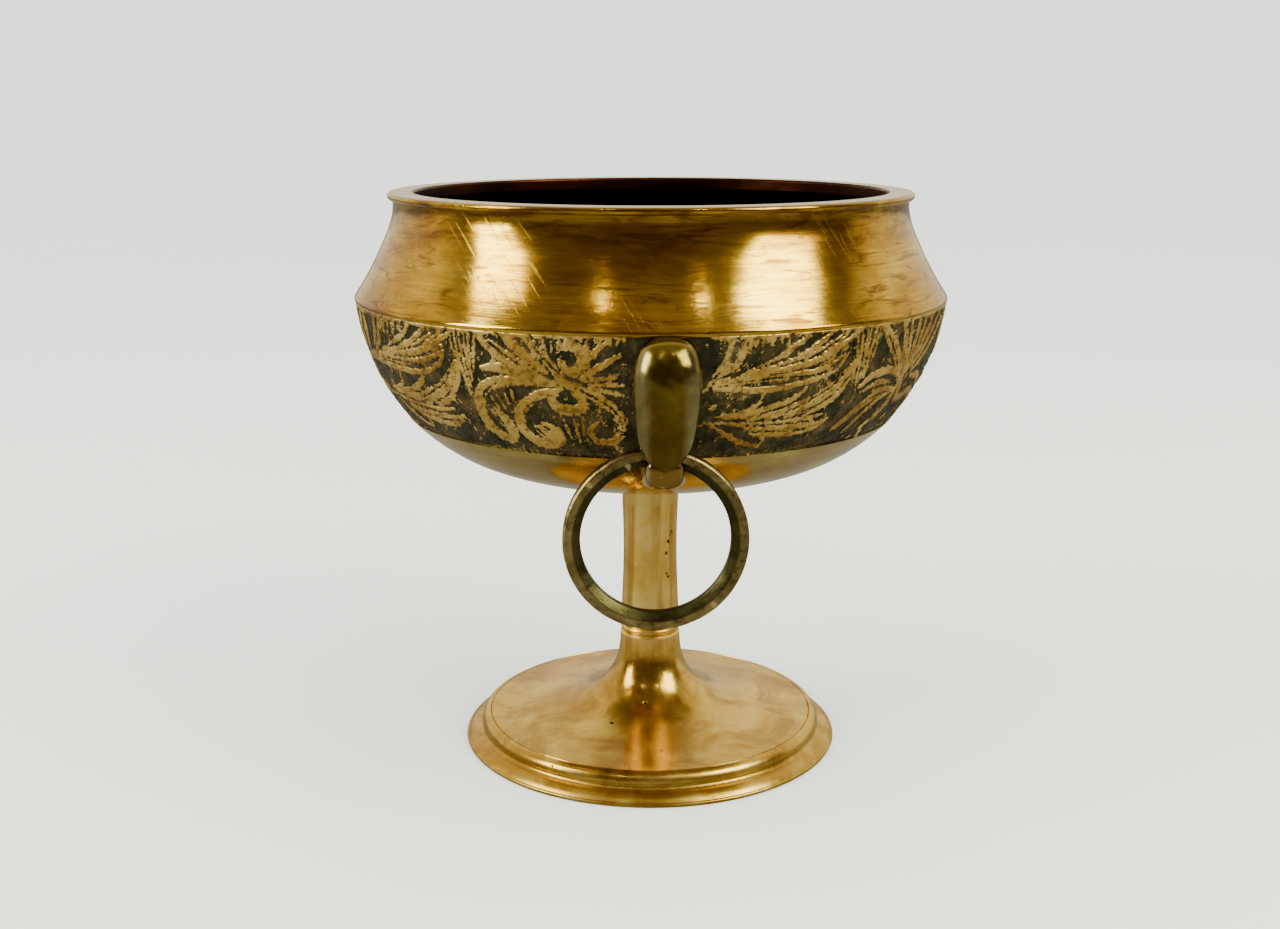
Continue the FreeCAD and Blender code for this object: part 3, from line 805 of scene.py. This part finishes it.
    def finish(self, colour, roughness, metallic, bumps):
        """Joins the looks to the shader, and (height, distance in mm) bumps in a chain."""
        self.link(colour, self.shader.inputs["Base Color"])
        self.link(roughness, self.shader.inputs["Roughness"])
        self.link(metallic, self.shader.inputs["Metallic"])
        normal = None
        for height, distance in bumps:
            bump = self.tree.nodes.new("ShaderNodeBump")
            bump.inputs["Distance"].default_value = distance * MM
            self.link(height, bump.inputs["Height"])
            if normal is not None:
                self.link(normal, bump.inputs["Normal"])
            normal = bump.outputs["Normal"]
        if normal is not None:
            self.link(normal, self.shader.inputs["Normal"])
        return self.material


def polished_brass():
    """Lathe-polished brass: golden, with scratches and brown tarnish, and dark inside, where the
    dark is partly tarnish and partly painted shade.
    """
    n = Nodes("polished_brass")
    clouds = n.noise(1.0, 6.0, 0.62, n.stretched(34.0, 34.0, 90.0), 0.6)
    stains = n.noise(1.0, 5.0, 0.7, n.stretched(80.0, 80.0, 620.0), 1.2)
    turning = n.noise(1.0, 3.0, 0.7, n.stretched(60.0, 60.0, 5200.0))
    streaks = n.noise(1.0, 3.0, 0.6, n.stretched(45.0, 45.0, 1900.0))
    scratches = n.noise(1.0, 0.0, 0.5, n.stretched(2600.0, 60.0, 110.0, 0.6))
    patches = n.noise(1.0, 2.0, 0.5, n.stretched(45.0, 45.0, 45.0))
    scratched = n.ramp(patches, (0.48, 0.0), (0.56, 1.0))
    hairline = n.maths("MULTIPLY", n.ramp(scratches, (0.66, 0.0), (0.71, 1.0)), scratched)
    waves = n.noise(1.0, 2.0, 0.5, n.stretched(55.0, 55.0, 130.0))
    colour = n.ramp(
        clouds,
        (0.32, (0.22, 0.095, 0.008)),
        (0.46, (0.52, 0.280, 0.022)),
        (0.60, (0.74, 0.460, 0.050)),
        (0.72, (0.84, 0.580, 0.11)),
    )
    streak = n.ramp(streaks, (0.42, 0.35), (0.62, 0.0))
    colour = n.mix(streak, colour, (0.30, 0.16, 0.010))
    stain = n.ramp(stains, (0.50, 0.0), (0.64, 0.85))
    colour = n.mix(stain, colour, (0.17, 0.058, 0.006))
    smoke = n.noise(1.0, 6.0, 0.7, n.stretched(55.0, 55.0, 330.0), 0.8)
    tarnish = n.ramp(smoke, (0.46, 0.0), (0.60, 0.85))
    tarnish = n.maths("MULTIPLY", tarnish, n.step(n.height(), *NECK_TARNISH))
    colour = n.mix(tarnish, colour, (0.15, 0.055, 0.008))
    below = n.ramp(clouds, (0.35, (0.26, 0.165, 0.030)), (0.65, (0.64, 0.46, 0.13)))
    colour = n.mix(n.step(n.height(), *UNDER_BAND), colour, below)
    colour = n.worn(colour, (0.86, 0.70, 0.30))
    rim = n.step(n.height(), *RIM_FACE)
    land = n.ramp(clouds, (0.35, (0.36, 0.235, 0.11)), (0.65, (0.58, 0.42, 0.23)))
    colour = n.mix(rim, colour, land)
    # The inside is painted dark: partly tarnish, partly painted shade.
    inside = n.maths("MAXIMUM", n.facing_axis(), n.bowl_floor())
    inner_tarnish_and_shade = n.ramp(clouds, (0.35, (0.020, 0.004, 0.002)), (0.70, (0.11, 0.030, 0.010)))
    colour = n.mix(inside, colour, inner_tarnish_and_shade)
    rough = n.ramp(clouds, (0.3, 0.16), (0.7, 0.09))
    rough = n.maths("ADD", rough, n.maths("MULTIPLY", hairline, 0.12))
    rough = n.maths("ADD", rough, n.maths("MULTIPLY", stain, 0.10))
    rough = n.mix(inside, rough, 0.34)
    return n.finish(colour, rough, 1.0, [(turning, 0.010), (hairline, -0.004), (waves, 0.08)])


def stem_brass():
    """Duller tan brass of the stem and foot, mottled, with small dark casting pits."""
    n = Nodes("stem_brass")
    clouds = n.noise(70.0, 7.0, 0.62, distortion=0.5)
    spots = n.noise(330.0, 3.0, 0.6)
    smears = n.noise(1.0, 5.0, 0.65, n.stretched(60.0, 60.0, 160.0), 1.0)
    foot = n.ramp(
        clouds,
        (0.32, (0.33, 0.165, 0.024)),
        (0.48, (0.60, 0.370, 0.062)),
        (0.68, (0.86, 0.610, 0.150)),
    )
    stem = n.ramp(
        clouds,
        (0.32, (0.60, 0.32, 0.050)),
        (0.50, (0.92, 0.60, 0.135)),
        (0.66, (1.0, 0.78, 0.30)),
    )
    streaks = n.noise(1.0, 4.0, 0.6, n.stretched(330.0, 330.0, 22.0), 0.6)
    stem = n.mix(n.ramp(streaks, (0.46, 0.0), (0.64, 0.75)), stem, (0.46, 0.235, 0.035))
    above = n.step(n.height(), *FOOT_TO_STEM)
    colour = n.mix(above, foot, stem)
    smear = n.ramp(smears, (0.47, 0.0), (0.62, 0.75))
    smear = n.maths("MULTIPLY", smear, n.maths("SUBTRACT", 1.0, above))
    colour = n.mix(smear, colour, (0.40, 0.21, 0.022))
    pits = n.maths("MAXIMUM", n.ramp(spots, (0.70, 0.0), (0.745, 1.0)), n.blowholes())
    colour = n.mix(pits, colour, PIT)
    colour = n.worn(colour, (0.84, 0.66, 0.26))
    rough = n.ramp(clouds, (0.30, 0.14), (0.70, 0.28))
    rough = n.maths("ADD", rough, n.maths("MULTIPLY", n.step(n.from_axis(), *DISC_EDGE), 0.10))
    satin = n.ramp(clouds, (0.30, 0.30), (0.70, 0.42))
    rough = n.mix(n.step(n.height(), *SHINE_TO_SATIN), rough, satin)
    turning = n.noise(1.0, 3.0, 0.7, n.stretched(80.0, 80.0, 4200.0))
    return n.finish(colour, rough, 1.0, [(turning, 0.010), (pits, -0.10), (clouds, 0.12)])


def aged_brass():
    """Olive brass of the hooks, with painted light: the horn is lighter at its top and darker down
    it as painted shade, and paler along both its sides and on the cup's sides as painted
    reflection.
    """
    n = Nodes("aged_brass")
    clouds = n.noise(130.0, 6.0, 0.65, distortion=0.4)
    grain = n.noise(900.0, 4.0, 0.6)
    split = n.tree.nodes.new("ShaderNodeSeparateXYZ")
    n.link(n.place, split.inputs[0])
    aside = n.maths("ABSOLUTE", split.outputs["X"])
    aside = n.maths("ADD", aside, n.maths("MULTIPLY", clouds, 0.0016))
    side = n.step(aside, *HORN_SHEEN_FLANK)
    # Painted shade: the horn's front is darker below and lighter at its top.
    front = n.mix(
        n.step(n.height(), *HORN_SHADE_TO_LIGHT),
        n.ramp(clouds, (0.32, (0.070, 0.036, 0.003)), (0.68, (0.155, 0.098, 0.012))),
        n.ramp(clouds, (0.32, (0.150, 0.105, 0.012)), (0.68, (0.330, 0.245, 0.045))),
    )
    # Painted sheen: the horn's sides are paler than its front.
    flank_painted_sheen = n.ramp(clouds, (0.32, (0.140, 0.110, 0.035)), (0.68, (0.340, 0.290, 0.120)))
    colour = n.mix(side, front, flank_painted_sheen)
    # Painted reflection: the cup is pale on its sides and browner in its middle.
    cup_tone_and_painted_reflection = n.mix(side, (0.25, 0.15, 0.035), (0.62, 0.55, 0.38))
    colour = n.mix(n.step(n.height(), *CUP_TOP), colour, cup_tone_and_painted_reflection)
    colour = n.worn(colour, (0.62, 0.50, 0.20))
    rough = n.ramp(clouds, (0.30, 0.15), (0.70, 0.27))
    return n.finish(colour, rough, 1.0, [(grain, 0.008), (clouds, 0.07)])


def ring_brass():
    """Stained brass of the rings: tan and scuffed on the outer half, and dark green inside it."""
    n = Nodes("ring_brass")
    clouds = n.noise(210.0, 6.0, 0.68, distortion=0.8)
    spots = n.noise(620.0, 4.0, 0.65)
    scuffs = n.noise(1500.0, 3.0, 0.7)
    inner = n.ramp(clouds, (0.32, (0.026, 0.024, 0.007)), (0.68, (0.098, 0.084, 0.030)))
    outer = n.ramp(
        clouds,
        (0.32, (0.090, 0.066, 0.018)),
        (0.50, (0.230, 0.170, 0.060)),
        (0.68, (0.420, 0.320, 0.140)),
    )
    half = n.step(n.attribute("outward"), 0.40, 0.56)
    colour = n.mix(half, inner, outer)
    stain = n.ramp(spots, (0.56, 0.0), (0.70, 0.85))
    colour = n.mix(stain, colour, (0.045, 0.034, 0.012))
    colour = n.worn(colour, (0.66, 0.54, 0.26))
    rough = n.ramp(clouds, (0.30, 0.22), (0.70, 0.38))
    bump = n.maths("MULTIPLY", scuffs, half)
    return n.finish(colour, rough, 1.0, [(spots, 0.03), (bump, 0.03), (clouds, 0.10)])


def etched_brass():
    """The band: golden leaves left standing over a dark brown and green etched ground."""
    n = Nodes("etched_brass")
    raised = n.attribute("raised")
    clouds = n.noise(90.0, 6.0, 0.6)
    grain = n.noise(1400.0, 4.0, 0.65)
    leaf = n.ramp(
        clouds,
        (0.32, (0.34, 0.180, 0.032)),
        (0.48, (0.68, 0.420, 0.095)),
        (0.64, (0.98, 0.720, 0.250)),
    )
    scuffs = n.noise(1.0, 5.0, 0.7, n.stretched(620.0, 620.0, 900.0, 0.5), 0.5)
    leaf = n.mix(n.ramp(scuffs, (0.50, 0.0), (0.60, 0.75)), leaf, (0.20, 0.100, 0.018))
    ground = n.ramp(
        n.noise(190.0, 7.0, 0.75),
        (0.34, (0.007, 0.007, 0.001)),
        (0.48, (0.028, 0.024, 0.006)),
        (0.59, (0.078, 0.052, 0.017)),
        (0.70, (0.180, 0.120, 0.050)),
    )
    cover = n.ramp(
        n.maths("ADD", raised, n.maths("MULTIPLY", n.maths("SUBTRACT", grain, 0.5), 0.6)),
        (0.35, 0.0),
        (0.65, 1.0),
    )
    colour = n.mix(cover, ground, leaf)
    rough = n.mix(cover, 0.44, n.ramp(clouds, (0.3, 0.32), (0.7, 0.46)))
    metal = n.ramp(cover, (0.0, 0.75), (1.0, 1.0))
    return n.finish(colour, rough, metal, [(grain, 0.03)])


def fastener_brass():
    """Dull brass of the stud, nut, washer and rivets."""
    n = Nodes("fastener_brass")
    clouds = n.noise(260.0, 5.0, 0.6)
    colour = n.ramp(clouds, (0.30, (0.18, 0.11, 0.02)), (0.70, (0.48, 0.34, 0.09)))
    colour = n.worn(colour, (0.72, 0.56, 0.24))
    rough = n.ramp(clouds, (0.30, 0.28), (0.70, 0.46))
    return n.finish(colour, rough, 1.0, [(clouds, 0.12)])


def floor_white():
    """The plain pale table, which looks dimmer in the brass than it does to the eye."""
    n = Nodes("floor_white")
    n.shader.inputs["Specular IOR Level"].default_value = 0.0
    colour = n.ramp(n.noise(3.0, 2.0), (0.3, (0.80, 0.81, 0.77)), (0.7, (0.83, 0.84, 0.80)))
    path = n.tree.nodes.new("ShaderNodeLightPath")
    colour = n.mix(path.outputs["Is Glossy Ray"], colour, (0.17, 0.16, 0.13))
    return n.finish(colour, 0.55, 0.0, [])


# ---------------------------------------------------------------- stage

FLOOR_RADIUS = 6.0
FLOOR_SIDES = 96

# Each light: name, azimuth and elevation in degrees, distance, width and height in metres, power in
# watts, and colour. Two tall soft boxes and two small lamps.
LIGHTS = [
    ("left_box", -72.0, 26.5, 0.9, 0.28, 0.52, 6.1, (0.97, 1.0, 0.84)),
    ("right_box", 57.0, 37.0, 0.9, 0.40, 0.46, 6.9, (0.97, 1.0, 0.80)),
    ("lamp_left", -25.5, 49.5, 1.3, 0.035, 0.03, 0.24, (1.0, 1.0, 0.80)),
    ("lamp_right", 22.0, 49.5, 1.3, 0.035, 0.03, 0.24, (1.0, 1.0, 0.80)),
]

# The surroundings: their brightness, how much dimmer they are to the eye, and the room that the
# brass reflects instead. Its front goes by height from dim to warm, and its back is pale.
PALE = (0.985, 1.0, 0.965)
PALE_STRENGTH = 2.35
EYE_DIMMING = -0.40
ROOM_STRENGTH = 1.15
ROOM_PALE = (1.0, 0.90, 0.66)
ROOM_FRONT = (0.00, (0, 0, 0))
ROOM_BACK = (0.28, (1, 1, 1))
ROOM_DIM = (0.62, (0.135, 0.100, 0.055))
ROOM_WARM = (0.86, (0.330, 0.270, 0.150))

# The camera: place in metres, downward and sideways turn in degrees, and lens in mm.
CAMERA_PLACE = (-0.0150, -0.3307, 0.1424)
CAMERA_PITCH = 76.49
CAMERA_YAW = -2.2
SENSOR_WIDTH = 36.0
FOCAL_LENGTH = 42.8
NEAREST = 0.01


def add_floor():
    """A pale round table, far larger than the bowl, that fades into the pale surroundings."""
    mesh = bpy.data.meshes.new("floor")
    shape = bmesh.new()
    bmesh.ops.create_circle(shape, cap_ends=True, segments=FLOOR_SIDES, radius=FLOOR_RADIUS)
    shape.to_mesh(mesh)
    shape.free()
    floor = bpy.data.objects.new("floor", mesh)
    bpy.context.scene.collection.objects.link(floor)
    mesh.materials.append(floor_white())


def add_light(name, azimuth, elevation, distance, width, height, power, colour):
    """A soft box that faces the bowl; azimuth 0 is in front of it and 90 to its right."""
    light = bpy.data.lights.new(name, "AREA")
    light.shape = "RECTANGLE"
    light.size = width
    light.size_y = height
    light.energy = power
    light.color = colour
    lamp = bpy.data.objects.new(name, light)
    bpy.context.scene.collection.objects.link(lamp)
    a, e = math.radians(azimuth), math.radians(elevation)
    centre = (CAD_BOX[0] + CAD_BOX[1]) / 2
    out = Vector((math.sin(a) * math.cos(e), -math.cos(a) * math.cos(e), math.sin(e)))
    lamp.location = centre + out * distance
    lamp.rotation_euler = out.to_track_quat("Z", "Y").to_euler()


def blend(tree, value, first, last):
    """A colour that goes from the first (value, colour) to the last as the value rises."""
    span = tree.nodes.new("ShaderNodeMapRange")
    tree.links.new(value, span.inputs["Value"])
    span.inputs["From Min"].default_value = first[0]
    span.inputs["From Max"].default_value = last[0]
    ramp = tree.nodes.new("ShaderNodeValToRGB")
    tree.links.new(span.outputs["Result"], ramp.inputs["Fac"])
    for stop, (_, colour) in zip(ramp.color_ramp.elements, (first, last)):
        stop.color = (*colour, 1.0)
    return ramp.outputs["Color"]


def add_world():
    """Pale surroundings; the brass reflects them behind the bowl, and a dim warm room before it."""
    world = bpy.data.worlds.new("studio")
    bpy.context.scene.world = world
    world.use_nodes = True
    world.cycles.sampling_method = "NONE"
    tree = world.node_tree
    pale = tree.nodes["Background"]
    pale.inputs["Color"].default_value = (*PALE, 1.0)
    path = tree.nodes.new("ShaderNodeLightPath")
    strength = tree.nodes.new("ShaderNodeMath")
    strength.operation = "MULTIPLY_ADD"
    tree.links.new(path.outputs["Is Camera Ray"], strength.inputs[0])
    strength.inputs[1].default_value = EYE_DIMMING
    strength.inputs[2].default_value = PALE_STRENGTH
    tree.links.new(strength.outputs[0], pale.inputs["Strength"])
    room = tree.nodes.new("ShaderNodeBackground")
    direction = tree.nodes.new("ShaderNodeTexCoord").outputs["Generated"]
    split = tree.nodes.new("ShaderNodeSeparateXYZ")
    tree.links.new(direction, split.inputs[0])
    colours = tree.nodes.new("ShaderNodeMix")
    colours.data_type = "RGBA"
    behind = blend(tree, split.outputs["Y"], ROOM_FRONT, ROOM_BACK)
    before = blend(tree, split.outputs["Z"], ROOM_DIM, ROOM_WARM)
    tree.links.new(behind, colours.inputs[0])
    tree.links.new(before, colours.inputs[6])
    colours.inputs[7].default_value = (*ROOM_PALE, 1.0)
    tree.links.new(colours.outputs[2], room.inputs["Color"])
    room.inputs["Strength"].default_value = ROOM_STRENGTH
    mix = tree.nodes.new("ShaderNodeMixShader")
    tree.links.new(path.outputs["Is Glossy Ray"], mix.inputs["Fac"])
    tree.links.new(pale.outputs[0], mix.inputs[1])
    tree.links.new(room.outputs[0], mix.inputs[2])
    tree.links.new(mix.outputs[0], tree.nodes["World Output"].inputs["Surface"])


def add_camera():
    """A close hand-held view from a little above the rim, almost straight on to the front ring."""
    camera = bpy.data.cameras.new("camera")
    camera.sensor_width = SENSOR_WIDTH
    camera.lens = FOCAL_LENGTH
    camera.clip_start = NEAREST
    view = bpy.data.objects.new("camera", camera)
    view.location = CAMERA_PLACE
    view.rotation_euler = (math.radians(CAMERA_PITCH), 0.0, math.radians(CAMERA_YAW))
    bpy.context.scene.collection.objects.link(view)
    bpy.context.scene.camera = view


# ---------------------------------------------------------------- build

def main():
    add_camera()
    add_floor()
    add_world()
    for light in LIGHTS:
        add_light(*light)
    finishes = {
        "polished_brass": polished_brass(),
        "etched_brass": etched_brass(),
        "aged_brass": aged_brass(),
        "ring_brass": ring_brass(),
        "stem_brass": stem_brass(),
        "fastener_brass": fastener_brass(),
    }
    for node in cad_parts.values():
        for slot in node.material_slots:
            finish = finishes[slot.material.name]
            slot.link = "OBJECT"
            slot.material = finish
    standing, inset = Etching().draw()
    pieces = [
        add_band("etched_band_right", 0.0, standing, inset),
        add_band("etched_band_left", 180.0, standing, inset),
        add_hook("front_hook_casting", "front_hook", 1.0),
        add_hook("rear_hook_casting", "rear_hook", -1.0),
        add_ring("front_ring", 5),
        add_ring("rear_ring", 6),
    ]
    for piece in pieces:
        piece.data.materials.append(finishes[piece["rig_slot"]])


main()
